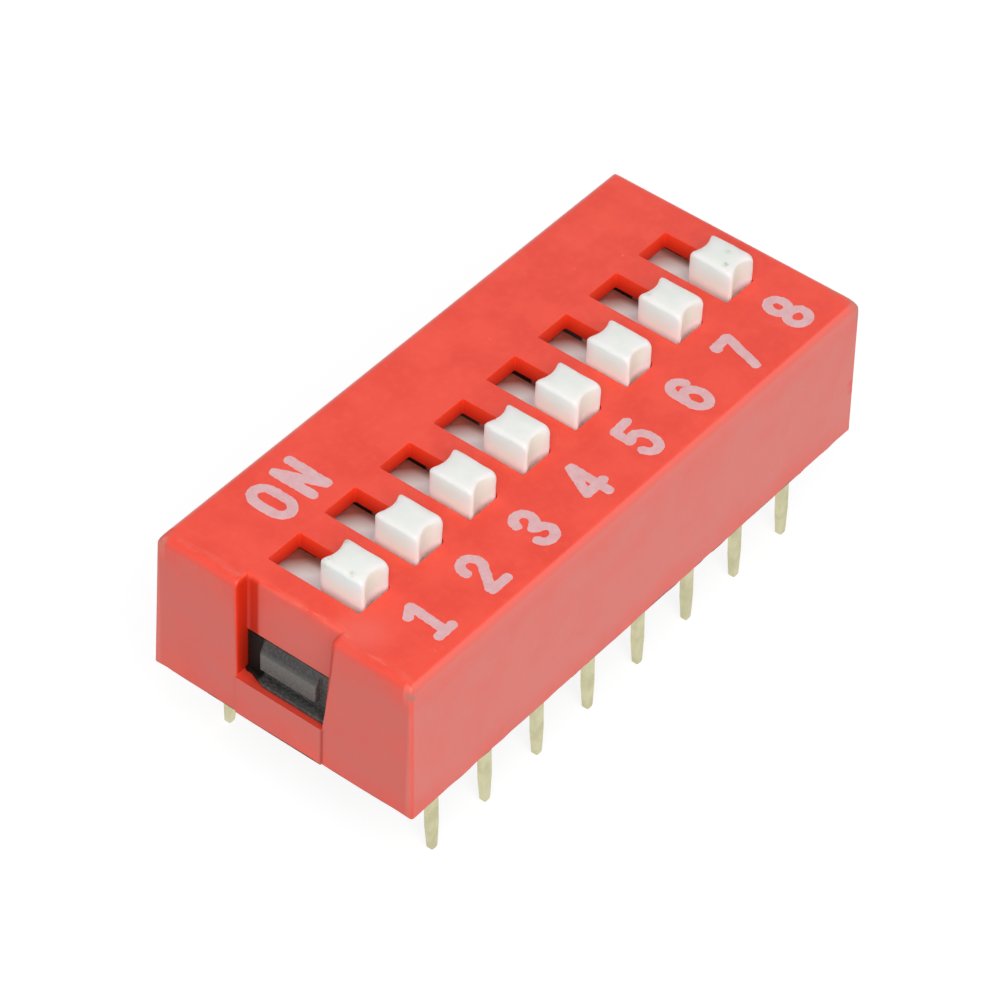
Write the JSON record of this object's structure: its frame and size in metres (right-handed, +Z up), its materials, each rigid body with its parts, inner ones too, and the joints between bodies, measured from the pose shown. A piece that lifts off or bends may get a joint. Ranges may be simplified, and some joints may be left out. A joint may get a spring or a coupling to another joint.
{
  "type": "dip switch",
  "caption": "Through-hole slide DIP switch: a red slotted cover over a black base, white slide knobs and dual in-line board pins.",
  "frame": {"origin": "centre of the seating plane, where the cover's foot meets the board", "axes": "+Y along the row from position 1 to the last, +X towards the numbered (off) side, +Z up, away from the board"},
  "size_m": [0.01, 0.022, 0.0102],
  "materials": {
    "cover_red": "satin",
    "base_black": "satin",
    "knob_white": "satin",
    "contact_metal": "plated",
    "terminal_metal": "plated, satin"
  },
  "bodies": {
    "housing": {"cover": "cover_red", "base": "base_black", "terminal_off_1": "terminal_metal", "terminal_off_2": "terminal_metal", "terminal_off_3": "terminal_metal", "terminal_off_4": "terminal_metal", "terminal_off_5": "terminal_metal", "terminal_off_6": "terminal_metal", "terminal_off_7": "terminal_metal", "terminal_off_8": "terminal_metal", "terminal_on_1": "terminal_metal", "terminal_on_2": "terminal_metal", "terminal_on_3": "terminal_metal", "terminal_on_4": "terminal_metal", "terminal_on_5": "terminal_metal", "terminal_on_6": "terminal_metal", "terminal_on_7": "terminal_metal", "terminal_on_8": "terminal_metal"},
    "slider_1": {"knob_1": "knob_white", "contact_1": "contact_metal"},
    "slider_2": {"knob_2": "knob_white", "contact_2": "contact_metal"},
    "slider_3": {"knob_3": "knob_white", "contact_3": "contact_metal"},
    "slider_4": {"knob_4": "knob_white", "contact_4": "contact_metal"},
    "slider_5": {"knob_5": "knob_white", "contact_5": "contact_metal"},
    "slider_6": {"knob_6": "knob_white", "contact_6": "contact_metal"},
    "slider_7": {"knob_7": "knob_white", "contact_7": "contact_metal"},
    "slider_8": {"knob_8": "knob_white", "contact_8": "contact_metal"}
  },
  "joints": [
    {"name": "slide_1", "type": "slide", "parent": "housing", "child": "slider_1", "axis": [-1, 0, 0], "range_m": [0, 0.00177]},
    {"name": "slide_2", "type": "slide", "parent": "housing", "child": "slider_2", "axis": [-1, 0, 0], "range_m": [0, 0.00177]},
    {"name": "slide_3", "type": "slide", "parent": "housing", "child": "slider_3", "axis": [-1, 0, 0], "range_m": [0, 0.00177]},
    {"name": "slide_4", "type": "slide", "parent": "housing", "child": "slider_4", "axis": [-1, 0, 0], "range_m": [0, 0.00177]},
    {"name": "slide_5", "type": "slide", "parent": "housing", "child": "slider_5", "axis": [-1, 0, 0], "range_m": [0, 0.00177]},
    {"name": "slide_6", "type": "slide", "parent": "housing", "child": "slider_6", "axis": [-1, 0, 0], "range_m": [0, 0.00177]},
    {"name": "slide_7", "type": "slide", "parent": "housing", "child": "slider_7", "axis": [-1, 0, 0], "range_m": [0, 0.00177]},
    {"name": "slide_8", "type": "slide", "parent": "housing", "child": "slider_8", "axis": [-1, 0, 0], "range_m": [0, 0.00177]}
  ]
}
